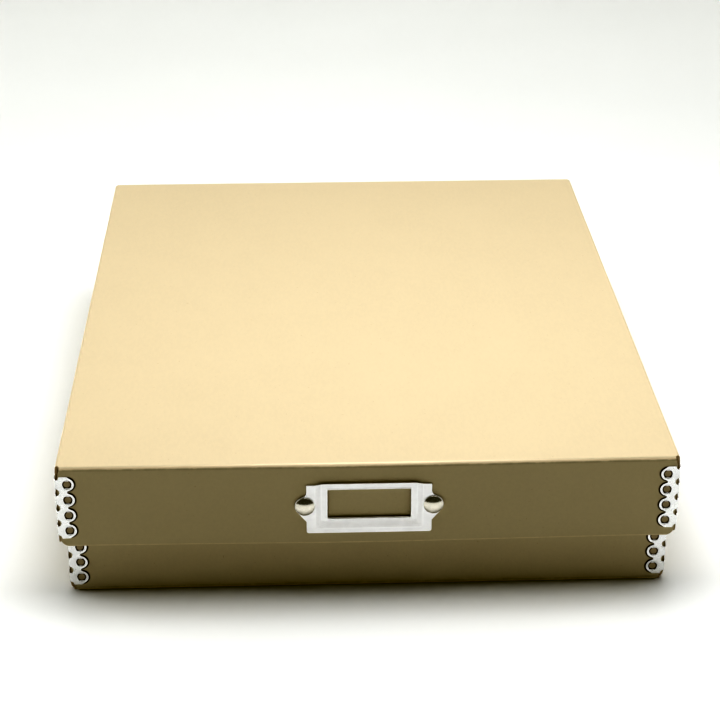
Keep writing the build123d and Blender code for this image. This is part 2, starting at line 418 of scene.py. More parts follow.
def board_face(settings, node, body):
    """Tan box board: a close felt-like tooth, faint cloudiness and a few dark fibres. Round the
    holes and the outline of the corner strips it is dented, with painted shade in the dent and on
    the board seen in each hole. Along its folds and its free edges it is lighter, partly from
    stretching and wear and partly a painted highlight, and beside each fold runs a faint line of
    painted shade in the score."""
    s = Shader(f"tan box board of the {body}")
    tan, wear_and_highlight = tuple(settings.tan), tuple(settings.wear_and_highlight)
    low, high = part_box(node)
    x, y, z = s.axes()
    cloud = s.noise(0.045, 4.0, 0.6)
    fibre = s.noise(0.0016, 4.0, 0.62, stretch=(1.0, 0.35, 1.0))
    tooth = s.noise(0.0005, 2.0, 0.6)
    speck = s.ramp(s.noise(0.0011, 1.0, 0.5), 0.765, 0.80)
    face = s.cloudy(cloud, tan, 0.992, 1.008)
    face = s.blend(s.ramp(fibre, 0.35, 0.65) * 0.5, face, shade(tan, 1.05))
    face = s.blend(speck * 0.3, face, (0.30, 0.19, 0.08))

    side = (high.x - abs(x)).maths("MINIMUM", high.y - abs(y))
    from_panel, from_edge = high.z - z, z - low.z
    if body == "base":
        from_panel, from_edge = from_edge, from_panel
    uneven = s.ramp(s.noise(0.006, 3.0, 0.6, stretch=(1.0, 1.0, 0.2)), 0.25, 0.6)
    from_score = abs(from_panel - (settings.fold_radius + 0.2 * MM))
    # Lighter band round each fold: partly stretching of the board, partly a painted highlight on
    # the fold.
    fold_stretch_and_highlight = s.near(side, 0.4 * MM, 0.9 * MM)
    fold_stretch_and_highlight = fold_stretch_and_highlight * s.near(from_panel + uneven * 0.4 * MM, 1.3 * MM, 1.6 * MM)
    score = s.near(from_score, 0.10 * MM, 0.35 * MM) * s.near(side, 0.4 * MM, 0.8 * MM)
    # Lighter band along the free edges: partly wear, partly a painted highlight.
    edge_wear_and_highlight = s.near(from_edge, 0.3 * MM, 0.8 * MM) * (uneven * 0.25 + 0.2)
    face = s.blend(fold_stretch_and_highlight * 0.85, face, wear_and_highlight)
    # Painted shade: a thin dark line in the score groove beside each fold.
    face = s.blend(score * uneven * 0.3, face, shade(tan, 0.3))
    face = s.blend(edge_wear_and_highlight, face, wear_and_highlight)

    strip = bpy.context.scene.archive_strip
    away = strip_distance(s, body, high)
    hole, lobe = strip.hole_radius, strip.lobe_radius
    # Painted shade round each hole and along the strips' outline; the same mask also dents the
    # normal.
    dent_and_painted_shade = s.ramp(away, hole - 0.8 * MM, hole - 0.3 * MM)
    dent_and_painted_shade = dent_and_painted_shade * s.near(away, lobe + 0.35 * MM, lobe + 1.1 * MM)
    face = s.blend(dent_and_painted_shade, face, (0.04, 0.028, 0.012))
    # Painted shade on the board seen down in each hole.
    face = s.blend(s.near(away, hole - 0.7 * MM, hole) * 0.30, face, (0.22, 0.15, 0.10))
    fine = s.bump(fibre * 0.6 + tooth * 0.4, 0.00012, 0.8)
    return s.finish(
        Base_Color=face, Roughness=s.ramp(fibre, 0.2, 0.8) * 0.12 + 0.66,
        Specular_IOR_Level=0.35, Normal=s.bump(dent_and_painted_shade, 0.0004, 0.6, fine),
    )


def strip_distance(s, body, half):
    """Distance from the nearest hole centre of the corner strips, measured on the walls, whose
    faces stand at the half sizes. Where the strips end, it grows with the height beyond the
    last hole."""
    strip = bpy.context.scene.archive_strip
    low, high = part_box(f"{body}_corner_fl")
    x, y, z = s.axes()
    from_corner = (half.x - abs(x)).maths("MAXIMUM", half.y - abs(y))
    along = from_corner - (strip.hole_line - strip.steel)
    # Height in pitches, and that of the nearest hole, kept between the end holes
    last = round((high.z - low.z) / strip.pitch) - 1.0
    place = (z - low.z) / strip.pitch - 0.5
    nearest = place.maths("ROUND").maths("MAXIMUM", 0.0).maths("MINIMUM", last)
    up = (place - nearest) * strip.pitch
    return (along * along + up * up).maths("SQRT")


def board_core(settings):
    """The cut edge of the board: pressed pulp in fine layers."""
    s = Shader("cut board edge")
    pulp = s.noise(0.0004, 3.0, 0.65)
    return s.finish(
        Base_Color=s.cloudy(pulp, tuple(settings.core), 0.85, 1.1),
        Roughness=0.9, Normal=s.bump(pulp, 0.00015, 0.9),
    )


def coated_steel(settings):
    """Bright coated strip: faint mill lines along the strip, soft mottling and small rubs."""
    s = Shader("coated strip steel")
    tone = tuple(settings.tone)
    mottle = s.noise(0.0035, 4.0, 0.6)
    lines = s.noise(0.0004, 2.0, 0.5, stretch=(1.0, 1.0, 0.12))
    rub = s.ramp(s.noise(0.0016, 3.0, 0.7), 0.60, 0.72)
    grit = s.ramp(s.noise(0.0009, 3.0, 0.7), 0.45, 0.7)
    tint = s.blend(grit * 0.4, s.cloudy(mottle, tone, 0.94, 1.04), shade(tone, 0.86))
    return s.finish(
        Base_Color=s.blend(rub * 0.35, tint, shade(tone, 0.78)), Metallic=0.85,
        Roughness=s.ramp(mottle, 0.25, 0.75) * 0.12 + 0.18 + rub * 0.10,
        Normal=s.bump(lines * 0.6 + mottle * 0.4, 0.00006, 0.7),
    )


def plated_sheet(settings):
    """Plated card holder: satin sheen with a fine brushed grain along its length, and a painted
    highlight round the window and in thin lines at the two ends of each slope."""
    s = Shader("plated holder")
    grain = s.noise(0.0005, 3.0, 0.6, stretch=(0.10, 1.0, 1.0))
    tint = s.cloudy(s.noise(0.006, 3.0, 0.55), tuple(settings.plate), 0.97, 1.02)
    window_x, sill, head, face_x, foot = holder_lines(settings)
    x, _, z = s.axes()
    above = abs(z - (sill + head) / 2) - (head - sill) / 2
    from_window = (abs(x) - window_x).maths("MAXIMUM", above)
    outer = face_x + settings.ramp - abs(x)
    inner = outer - settings.ramp
    # Painted highlights: white lines round the window and at the two ends of each slope.
    lines = (
        s.near(from_window, 0.40 * MM, 0.75 * MM),
        s.near(abs(z - foot), 0.15 * MM, 0.45 * MM) * s.ramp(outer, 0.0, 1.0 * MM) * 0.7,
        s.near(abs(outer), 0.15 * MM, 0.45 * MM) * s.ramp(z, foot, foot + 1.0 * MM) * 0.5,
        s.near(abs(inner), 0.15 * MM, 0.40 * MM) * s.ramp(z, foot + 2 * MM, foot + 5 * MM) * 0.5,
    )
    painted_highlight = functools.reduce(lambda first, line: first.maths("MAXIMUM", line), lines)
    return s.finish(
        Base_Color=s.blend(painted_highlight, tint, (1.0, 1.0, 1.0)), Metallic=0.9,
        Roughness=s.ramp(grain, 0.25, 0.75) * 0.12 + 0.38, Normal=s.bump(grain, 0.00003, 0.6),
    )


def polished_nickel(settings):
    """Polished pin: a clean reflection, a little clouded by handling."""
    s = Shader("polished nickel")
    haze = s.noise(0.0022, 4.0, 0.65)
    return s.finish(
        Base_Color=s.cloudy(haze, tuple(settings.nickel), 0.93, 1.04),
        Metallic=1.0, Roughness=s.ramp(haze, 0.3, 0.75) * 0.12 + 0.10,
        Normal=s.bump(haze, 0.00006, 0.5),
    )


# ---------------------------------------------------------------- trays


def front_bow(x, z):
    """How far the lid's front wall stands out of its corner plane. Across the wall it is a
    smooth step up from each straight end and down again, and it grows down the wall."""
    board = bpy.context.scene.archive_board
    low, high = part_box("lid_tray")
    straight = high.x - board.bow_end
    depth = np.clip((high.z - z) / (high.z - low.z), 0.0, 1.0)
    return (-low.y - high.y) * smooth((straight - np.abs(x)) / straight) * (0.8 + 0.2 * depth)


def end_gap(height, full, relief, board):
    """From the next wall's outer plane to a wall's end, at that height above the panel: the
    corner notch narrows linearly to the wall end, and the free corner is a quarter circle."""
    narrowing = np.clip((height - board.fold_radius / 2) / board.relief_height, 0.0, 1.0)
    gap = relief + (board.wall_end - relief) * narrowing
    over = np.clip(height - (full - board.free_round), 0.0, board.free_round)
    return gap + board.free_round - np.sqrt(board.free_round**2 - over**2)


def wall_rows(full, board):
    """Rows from the panel's edge round the fold and along the wall. Each is how far it stands
    out from the panel's edge and up from the panel, for the outer and the inner face. The fold
    is a quarter circle, and the score beside it is a bell-shaped groove."""
    radius, inside = board.fold_radius, board.fold_radius - board.thickness
    turn = np.linspace(0, np.pi / 2, 8)[1:]
    near = radius + np.array([0.1, 0.2, 0.3, 0.4, 0.5, 0.65, 0.8, 1.1, 1.6, 2.4]) * MM
    far = np.linspace(near[-1], full - board.free_round, 12)[1:]
    tip = full - board.free_round * (1 - np.sin(np.linspace(0, np.pi / 2, 9)[1:]))
    up = np.concatenate([near, far, tip])
    score, spread = radius + 0.3 * MM, 0.22 * MM
    dent = board.groove * np.exp(-(((up - score) / spread) ** 2))
    outer = np.stack([
        np.concatenate([radius * np.sin(turn), radius - dent]),
        np.concatenate([radius - radius * np.cos(turn), up]),
    ])
    inner = np.stack([
        np.concatenate([inside * np.sin(turn), np.full(len(up), inside)]),
        np.concatenate([radius - inside * np.cos(turn), up]),
    ])
    return outer, inner


def tray_sheet(width, span, full, relief, board, seed):
    """A folded tray as one sheet, its panel on z = 0 and its walls up, with the outer face
    outside and below. The panel is a flat grid. Each wall is a grid of its row profile carried
    along the panel's edge, with its ends cut by end_gap and mitred inside by the thickness, and
    with a faint inward ripple along its run."""
    across, along = 96, 128
    longest, deepest = 0.09, 0.08 * MM
    half_x, half_y = width / 2, span / 2

    def places(half, count):
        """Places across the panel: at each fold, and evenly spread between the notches."""
        edge = half - board.fold_radius
        return np.concatenate([[-edge], np.linspace(-half + relief, half - relief, count), [edge]])

    xs, ys = places(half_x, across), places(half_y, along)
    grid_x, grid_y = np.meshgrid(xs, ys, indexing="ij")
    flat = np.zeros_like(grid_x)
    outer = [np.stack([grid_x, grid_y, flat], axis=-1).reshape(-1, 3)]
    inner = [np.stack([grid_x, grid_y, flat + board.thickness], axis=-1).reshape(-1, 3)]
    index = np.arange(grid_x.size).reshape(grid_x.shape)
    quads = [grid_quads(index, flip=True)]
    count = grid_x.size
    profile_out, profile_in = wall_rows(full, board)
    height = profile_out[1]
    seat = smooth((height - board.fold_radius) / board.relief_height)
    close_out = end_gap(height, full, relief, board)
    close_in = close_out + board.thickness * seat
    # The panel's border, its points along it, and half the wall's length and its distance
    edges = (
        (index[1:-1, 0], xs[1:-1], half_x, half_y),
        (index[-1, 1:-1], ys[1:-1], half_y, half_x),
        (index[1:-1, -1][::-1], xs[1:-1], half_x, half_y),
        (index[0, 1:-1][::-1], ys[1:-1], half_y, half_x),
    )
    for side, (border, run_points, half_run, half_out) in enumerate(edges):
        share = run_points / (half_run - relief)
        if side > 1:
            share = -share[::-1]
        for (out, up), close, faces in (
            (profile_out, close_out, outer), (profile_in, close_in, inner),
        ):
            run = share[:, None] * (half_run - close)[None, :]
            ripple = 1 + np.clip(waves(run + 3.1 * side, seed + side, longest), -1, 1)
            reach = half_out - board.fold_radius + out[None, :]
            reach = reach - ripple * deepest * (out / out.max())[None, :]
            rise = np.broadcast_to(up[None, :], run.shape)
            # Turn the wall's own run and reach to its side of the tray
            x, y = ((run, -reach), (reach, run), (-run, reach), (-reach, -run))[side]
            faces.append(np.stack([x, y, rise], axis=-1).reshape(-1, 3))
        rows = np.arange(count, count + share.size * len(height)).reshape(share.size, -1)
        quads.append(grid_quads(np.concatenate([border[:, None], rows], axis=1)))
        count += rows.size
    return np.concatenate(outer), np.concatenate(inner), np.concatenate(quads)


def sag(points, width, span, seed):
    """How far the lid's panel sinks: two crossed wave lines between none and the depth, fading
    out smoothly towards the edges."""
    depth, border, across, along = 0.25 * MM, 0.05, 0.31, 0.37
    fade = smooth((width / 2 - np.abs(points[:, 0])) / border)
    fade = fade * smooth((span / 2 - np.abs(points[:, 1])) / border)
    swell = waves(points[:, 0], seed, across, 3) * waves(points[:, 1], seed + 1, along, 3)
    return depth * (1 + np.clip(swell, -1, 1)) / 2 * fade


def build_tray(node, body, relief, seed):
    """A board tray in the place of its node. The lid is turned over about the Y axis, and its
    front is carried out by the bow, which fades in over the front of its panel."""
    board = bpy.context.scene.archive_board
    low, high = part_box(node)
    width, span = high.x - low.x, 2 * high.y
    outer, inner, quads = tray_sheet(width, span, high.z - low.z, relief, board, seed)
    if body == "lid":
        bow_start = 0.12
        sink = sag(outer, width, span, seed + 7)
        for points in (outer, inner):
            points[:, 0] *= -1
            points[:, 2] = high.z - (points[:, 2] + sink)
            ahead = -points[:, 1] - bow_start
            ahead = smooth(ahead / (span / 2 - board.fold_radius - bow_start))
            points[:, 1] -= front_bow(points[:, 0], points[:, 2]) * ahead
    materials = [board_face(board, node, body), board_core(board)]
    piece = make_piece(f"{node}_board", [thick(outer, inner, quads)], materials, bevel=0.12 * MM)
    settle(piece, body, node)


class ARCHIVE_OT_base_tray(bpy.types.Operator):
    """Make the base: a folded board tray"""

    bl_idname = "archive.base_tray"
    bl_label = "Base tray"

    def execute(self, context):
        build_tray("base_tray", "base", context.scene.archive_board.base_relief, 11)
        return {"FINISHED"}


class ARCHIVE_OT_lid_tray(bpy.types.Operator):
    """Make the lid: a folded board tray turned over, with a bowed front wall"""

    bl_idname = "archive.lid_tray"
    bl_label = "Lid tray"

    def execute(self, context):
        build_tray("lid_tray", "lid", context.scene.archive_board.lid_relief, 23)
        return {"FINISHED"}


# ---------------------------------------------------------------- corner strips


def flank_point(radius, reach):
    """Where a line from the hole line, at that reach from the hole, touches the lobe."""
    angle = math.acos(radius / reach)
    return radius * math.sin(angle), radius * math.cos(angle)


def strip_line(strip):
    """Distance from the middle of the bend to the hole line, along the sheet."""
    arc = (strip.bend_radius - strip.steel / 2) * math.pi / 4
    return strip.hole_line - strip.bend_radius + arc


def cell_outline(strip, first, last):
    """The outline of one hole's share of the strip, about the hole's centre: along the bend,
    a quarter of the upper hole on the bend, the upper edge, the lobe, and the same below.
    The first coordinate runs from the bend, the second along the strip."""
    half = strip.pitch / 2
    centre = strip_line(strip)
    radius = strip.lobe_radius
    corner = np.linspace(0, np.pi / 2, 9)
    bend_hole = strip.bend_hole * np.stack([np.sin(corner), -np.cos(corner)], axis=1)
    quarter = bend_hole + (-centre, half)

    def side(at_end):
        """Half the outline, from the bend to the lobe's tip. Between two holes it runs into a
        notch, and at an end of the strip it starts from a full corner."""
        reach = half if at_end else half - strip.notch / 2
        flank = flank_point(radius, reach)
        edge = np.linspace(strip.bend_hole - centre, 0, 6)[1:]
        line = np.stack([edge, np.full(len(edge), half)], axis=1)
        root = [] if at_end else [(0.0, half - strip.notch / 4), (0.0, reach)]
        slope = np.linspace((0.0, reach), flank, 5)[1:]
        swing = np.linspace(math.atan2(flank[1], flank[0]), 0, 14)[1:]
        arc = radius * np.stack([np.cos(swing), np.sin(swing)], axis=1)
        return np.concatenate([quarter, line, np.array(root).reshape(-1, 2), slope, arc])

    top, bottom = side(last), side(first)[::-1] * (1, -1)
    bend = np.linspace(bottom[-1], top[0], 7)[1:-1]
    return np.concatenate([top, bottom[1:], bend])


def leg_sheet(strip, holes):
    """One leg's flat sheet, as distances from the bend and along the strip, with a depth below
    its outer face. Each cell is a grid of rays from the hole's edge to the cell's outline, and
    the sheet dips towards the hole as an exponential of the distance from its edge."""
    rings = np.array([0.0, 0.06, 0.14, 0.26, 0.45, 0.72, 1.0])
    dip_run = 0.28 * MM
    points, dips, quads = [], [], []
    count = 0
    for hole in range(holes):
        outline = cell_outline(strip, hole == 0, hole == holes - 1)
        angle = np.arctan2(outline[:, 1], outline[:, 0])
        start = strip.hole_radius * np.stack([np.cos(angle), np.sin(angle)], axis=1)
        spread = start[:, None, :] + (outline - start)[:, None, :] * rings[None, :, None]
        away = np.linalg.norm(spread, axis=2) - strip.hole_radius
        dips.append((strip.lip * np.exp(-away / dip_run)).ravel())
        place = spread + (strip_line(strip), (hole + 0.5) * strip.pitch)
        points.append(place.reshape(-1, 2))
        index = np.arange(count, count + away.size).reshape(away.shape)
        quads.append(grid_quads(index, ring=True))
        count += away.size
    return np.concatenate(points), np.concatenate(dips), np.concatenate(quads)


def bend_round(away, up, depth, strip):
    """Bends a flat leg round half the corner: a part-circle to 45 degrees, and straight on.
    The corner of the two outer faces is the origin and the leg runs along +X."""
    radius = strip.bend_radius
    arc = (radius - strip.steel / 2) * math.pi / 4
    turn = np.clip(away / arc, 0.0, 1.0) * math.pi / 4 + math.radians(225)
    reach = radius - depth
    x = radius + reach * np.cos(turn) + np.maximum(away - arc, 0.0)
    y = radius + reach * np.sin(turn)
    return np.stack([x, y, up], axis=-1)


def ribbon(path, wide, thickness):
    """The two faces of a bent band: the path's two coordinates, each moved half the thickness
    to either side of the path, at every place across the width."""
    tangent = np.gradient(path, axis=1)
    tangent /= np.linalg.norm(tangent, axis=0)
    for side in (1, -1):
        first = path[0] + side * tangent[1] * thickness / 2
        second = path[1] - side * tangent[0] * thickness / 2
        yield wide, np.broadcast_to(first, wide.shape), np.broadcast_to(second, wide.shape)


def prong(strip, board, centre, edge):
    """A prong as a thin bent sheet: its path goes straight in through the board and turns out
    along the inner face on a small quarter circle, away from the hole. It narrows evenly."""
    bend, tip_share = 0.35 * MM, 0.82
    depth = strip.steel + board.thickness
    inner = np.linspace(0.1 * MM, depth - bend + strip.steel / 2, 4)
    turn = np.linspace(0, np.pi / 2, 5)[1:]
    into = np.concatenate([inner, inner[-1] + bend * np.sin(turn), [inner[-1] + bend]])
    out = np.concatenate([
        np.zeros(len(inner)), bend * (1 - np.cos(turn)), [strip.prong_tab - strip.steel],
    ])
    root = strip.hole_radius - strip.steel / 2
    width = strip.prong_width * np.linspace(1.0, tip_share, len(into))
    wide = np.linspace(-0.5, 0.5, 5)[:, None] * width[None, :]
    faces = [
        np.stack([strip.hole_line + x, y, centre + edge * (root + z)], axis=-1).reshape(-1, 3)
        for x, y, z in ribbon(np.stack([into, out]), wide, strip.steel)
    ]
    index = np.arange(wide.size).reshape(wide.shape)
    return *faces, grid_quads(index, flip=edge > 0)


def strip_parts(strip, board, holes, seed):
    """The closed sheets of one strip, with its corner at the origin and its legs along +X and
    +Y. The second leg mirrors the first about the corner's diagonal."""
    flat, dips, quads = leg_sheet(strip, holes)
    away, up = flat[:, 0], flat[:, 1]
    # Beyond the bend the strip is pressed unevenly into the board
    press, longest = 0.05 * MM, 0.021
    uneven = press * (1 + waves(up + 0.7 * away, seed, longest, 3))
    depth = dips + uneven * (away > 2 * MM)
    outer, inner = (
        np.concatenate([face, face[:, [1, 0, 2]]])
        for face in (
            bend_round(away, up, depth, strip), bend_round(away, up, depth + strip.steel, strip),
        )
    )
    both = np.concatenate([quads, quads[:, ::-1] + len(away)])
    parts = [thick(*weld(outer, inner, both))]
    for hole in range(holes):
        for edge in (-1, 1):
            face, back, prong_quads = prong(strip, board, (hole + 0.5) * strip.pitch, edge)
            parts.append(thick(face, back, prong_quads))
            parts.append(thick(face[:, [1, 0, 2]], back[:, [1, 0, 2]], prong_quads[:, ::-1]))
    return parts


class ARCHIVE_OT_corner_strips(bpy.types.Operator):
    """Make the eight corner strips: perforated steel bent round the corners, with prongs"""

    bl_idname = "archive.corner_strips"
    bl_label = "Corner strips"

    def execute(self, context):
        strip, board = context.scene.archive_strip, context.scene.archive_board
        steel = coated_steel(strip)
        for body in ("base", "lid"):
            for number, (corner, (side, end)) in enumerate(CORNERS.items()):
                node = f"{body}_corner_{corner}"
                low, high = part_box(node)
                holes = round((high.z - low.z) / strip.pitch)
                # A quarter turn for each corner, and out to the corner of the node's box
                sine, cosine = ((0, 1), (1, 0), (0, -1), (-1, 0))[number]
                turn = np.array([(cosine, sine, 0), (-sine, cosine, 0), (0, 0, 1)])
                place = (low.x if side < 0 else high.x, low.y if end < 0 else high.y, low.z)
                parts = [
                    (points @ turn + place, faces, 0)
                    for points, faces, _ in strip_parts(strip, board, holes, number + 31)
                ]
                piece = make_piece(f"{node}_strip", parts, [steel], sharp=40, bevel=0.07 * MM)
                settle(piece, body, node)
        return {"FINISHED"}


# ---------------------------------------------------------------- card holder


def holder_lines(holder):
    """Half the window's width, its sill and head, half the raised face's width, and the height
    at which the slope below the face starts."""
    low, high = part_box("label_holder")
    window_x = holder.width / 2 - holder.window_side
    sill, head = low.z + holder.window_sill, high.z - holder.window_head
    return window_x, sill, head, window_x + holder.face_side, sill - holder.foot_drop


def pin_height():
    """Height of the split pins above the floor."""
    low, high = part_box("holder_pin_left")
    return (low.z + high.z) / 2


def holder_outline(holder):
    """The holder's outline about its centre line, anticlockwise seen from the front: straight
    edges, rounded corners, a hollow quarter turn into each ear, the ear's round and its
    straight lower flank. Points are evenly spread along each stretch."""
    low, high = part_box("label_holder")
    half, top, bottom = holder.width / 2, high.z, low.z
    face = holder_lines(holder)[3]
    slope_end, shoulder = face + holder.ramp, top - holder.shoulder
    ear_x, ear_z = half + holder.ear_out, pin_height()
    radius, blend = holder.ear_radius, holder.ear_blend
    corner, nick = holder.corner, holder.corner / 3

    def arc(x, z, size, start, stop, count):
        """Points evenly spread round part of a circle."""
        turn = np.linspace(start, stop, count)
        return np.stack([x + size * np.cos(turn), z + size * np.sin(turn)], axis=1)

    slope, right_angle = holder.ear_slope, math.pi / 2
    flank = (ear_x + radius * math.cos(slope), ear_z - radius * math.sin(slope))
    foot = (half, flank[1] - (flank[0] - half) / math.tan(slope))
    hollow_x = half + blend
    hollow_z = ear_z + math.sqrt((radius + blend) ** 2 - (hollow_x - ear_x) ** 2)
    meet = math.atan2(hollow_z - ear_z, hollow_x - ear_x)
    right = np.concatenate([
        np.linspace((0, bottom), (half - corner, bottom), 40),
        arc(half - corner, bottom + corner, corner, -right_angle, 0, 7),
        np.linspace((half, bottom + corner), foot, 8),
        np.linspace(foot, flank, 8)[1:],
        arc(ear_x, ear_z, radius, -slope, meet, 26)[1:],
        arc(hollow_x, hollow_z, blend, meet + math.pi, math.pi, 10)[1:],
        np.linspace((half, hollow_z), (half, shoulder - nick), 5)[1:],
        arc(half - nick, shoulder - nick, nick, 0, right_angle, 5)[1:],
        np.linspace((half - nick, shoulder), (slope_end, shoulder), 8)[1:],
        np.linspace((slope_end, shoulder), (face, top), 10)[1:],
        np.linspace((face, top), (0, top), 34)[1:],
    ])
    return np.concatenate([right, right[1:-1][::-1] * (-1, 1)])


def holder_rise(x, z, holder):
    """Height of the stamped face above the flange. It is the product of a smooth ramp in from
    each side and a nearly straight one up from the foot, with a small rounded bead round the
    window and the window's edge curled in."""
    window_x, sill, head, face_x, foot = holder_lines(holder)
    bead, bead_place, bead_spread = 0.14 * MM, 0.45 * MM, 0.30 * MM
    curl, curl_run = 0.22 * MM, 0.22 * MM
    # The face is a little lower than the pocket, which leaves room for the bead
    height = holder.pocket - 0.15 * MM
    across = smooth((face_x + holder.ramp - np.abs(x)) / holder.ramp)
    climb = np.clip((z - foot) / holder.foot_run, 0.0, 1.0)
    along = 0.65 * climb + 0.35 * smooth(climb)
    beyond_x = np.maximum(np.abs(x) - window_x, 0)
    beyond_z = np.maximum(np.maximum(sill - z, z - head), 0)
    from_window = np.hypot(beyond_x, beyond_z)
    bead = bead * np.exp(-(((from_window - bead_place) / bead_spread) ** 2))
    curl = curl * np.exp(-from_window / curl_run)
    return height * across * along + bead - curl


def holder_sheet(holder):
    """The holder as a closed sheet: rays from the window's edge to the outline, close together
    near the window, each point standing off the wall by holder_rise."""
    outline = holder_outline(holder)
    window_x, sill, head, *_ = holder_lines(holder)
    # The window's edge, seen from its middle in the same direction as each outline point
    middle = (0, (sill + head) / 2)
    seen = outline - middle
    reach = np.array([window_x, (head - sill) / 2]) / np.maximum(np.abs(seen), 1e-9)
    window = middle + seen * reach.min(axis=1)[:, None]
    near = np.array([0, 0.1, 0.22, 0.36, 0.52, 0.75, 1.05, 1.5, 2.0]) * MM
    steps = near[None, :] / np.linalg.norm(outline - window, axis=1)[:, None]
    rest = steps[:, -1:] + (1 - steps[:, -1:]) * np.linspace(0, 1, 34)[None, 1:]
    shares = np.concatenate([steps, rest], axis=1)
    spread = window[:, None, :] + (outline - window)[:, None, :] * shares[:, :, None]
    x, z = spread[..., 0], spread[..., 1]
    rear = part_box("label_holder")[1].y - holder_rise(x, z, holder)
    front_face, rear_face = (
        np.stack([x, y, z], axis=-1).reshape(-1, 3) for y in (rear - holder.sheet, rear)
    )
    quads = grid_quads(np.arange(x.size).reshape(x.shape), ring=True)
    points, faces, _ = thick(front_face, rear_face, quads[:, ::-1])
    return points, faces, 0


class ARCHIVE_OT_label_holder(bpy.types.Operator):
    """Make the card holder: one stamped sheet, open at the top behind its raised face"""

    bl_idname = "archive.label_holder"
    bl_label = "Card holder"

    def execute(self, context):
        holder = context.scene.archive_holder
        plate = [plated_sheet(holder)]
        piece = make_piece("label_holder_plate", [holder_sheet(holder)], plate, bevel=0.16 * MM)
        settle(piece, "lid", "label_holder")
        return {"FINISHED"}


# ---------------------------------------------------------------- split pins


def pin_head(holder, seat, low, high):
    """A turned head on the seat: a short rim and a dome, which is part of a circle."""
    radius = (high.x - low.x) / 2
    rise = seat - low.y - holder.head_rim
    ball = (radius**2 + rise**2) / (2 * rise)
    lean = np.linspace(math.asin(radius / ball), 0, 22)[1:]
    away = np.concatenate([[0.0, radius - 0.25 * MM, radius, radius], ball * np.sin(lean)])
    dome = holder.head_rim + rise - ball * (1 - np.cos(lean))
    out = np.concatenate([[0.0, 0.0, 0.03 * MM, holder.head_rim], dome])
    turn = np.linspace(0, 2 * np.pi, 65)[:-1]
    x = (low.x + high.x) / 2 + away[None, :] * np.cos(turn)[:, None]
    z = (low.z + high.z) / 2 + away[None, :] * np.sin(turn)[:, None]
    y = np.broadcast_to(seat - out[None, :], x.shape)
    index = np.arange(x.size).reshape(x.shape)
    index[:, 0], index[:, -1] = index[0, 0], index[0, -1]
    return np.stack([x, y, z], axis=-1).reshape(-1, 3), grid_quads(index, ring=True), 0


def pin_leg(holder, seat, low, high, way):
    """One leg as a bent strip: in beside its twin, round a small quarter circle, and along the
    wall to a rounded tip."""
    bend, across = 0.5 * MM, 7
    thickness = holder.leg_thickness
    back = high.y - thickness / 2
    tip = (high.z - low.z) / 2
    inward = np.linspace(seat - 0.2 * MM, back - bend, 4)
    turn = np.linspace(0, np.pi / 2, 6)[1:]
    along = np.linspace(bend + thickness / 2, tip, 14)[1:]
    y = np.concatenate([inward, inward[-1] + bend * np.sin(turn), np.full(len(along), back)])
    z = np.concatenate([
        np.full(len(inward), thickness / 2), thickness / 2 + bend * (1 - np.cos(turn)), along,
    ])
    from_tip = np.clip((tip - z) / (holder.leg_width / 2), 0.0, 1.0)
    width = holder.leg_width * np.sqrt(np.clip(1 - (1 - from_tip) ** 2, 0.04, 1.0))
    wide = np.linspace(-0.5, 0.5, across)[:, None] * width[None, :]
    centre_x, centre_z = (low.x + high.x) / 2, (low.z + high.z) / 2
    faces = [
        np.stack([centre_x + x, y, centre_z + way * z], axis=-1).reshape(-1, 3)
        for x, y, z in ribbon(np.stack([y, z]), wide, thickness)
    ]
    index = np.arange(wide.size).reshape(wide.shape)
    points, quads, _ = thick(*faces, grid_quads(index, flip=way > 0))
    return points, quads, 0


class ARCHIVE_OT_split_pins(bpy.types.Operator):
    """Make the two split pins: a domed head, and two legs spread behind the wall"""

    bl_idname = "archive.split_pins"
    bl_label = "Split pins"

    def execute(self, context):
        holder = context.scene.archive_holder
        nickel = [polished_nickel(holder)]
        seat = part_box("label_holder")[1].y - holder.sheet
        for side in ("left", "right"):
            node = f"holder_pin_{side}"
            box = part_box(node)
            legs = [pin_leg(holder, seat, *box, way) for way in (-1, 1)]
            parts = [pin_head(holder, seat, *box), *legs]
            piece = make_piece(f"{node}_brad", parts, nickel, bevel=0.06 * MM)
            settle(piece, "lid", node)
        return {"FINISHED"}


# ---------------------------------------------------------------- stage


def stage_floor(studio):
    """A wide floor whose middle strip turns up behind on a large quarter circle."""
    reach, half, back, curve, height = 11.0, 4.0, 2.2, 1.2, 4.0
    flat = np.linspace(-reach, back, 30)[:-1]
    turn = np.linspace(0, np.pi / 2, 25)
    y = np.concatenate([flat, back + curve * np.sin(turn), [back + curve]])
    z = np.concatenate([np.zeros(len(flat)), curve * (1 - np.cos(turn)), [height]])
    x = np.array([-reach, -half - 0.01, -half, half, half + 0.01, reach])
    z = (np.abs(x) <= half)[:, None] * z[None, :]
    points = np.stack(np.broadcast_arrays(x[:, None], y[None, :], z), axis=-1)
    quads = grid_quads(np.arange(z.size).reshape(z.shape))
    s = Shader("pale floor")
    s.finish(
        Base_Color=s.cloudy(s.noise(0.35, 2.0, 0.5), tuple(studio.floor), 0.99, 1.01),
        Roughness=0.55, Specular_IOR_Level=0.25,
    )
    make_piece("studio_floor", [(points.reshape(-1, 3), quads, 0)], [s.made])


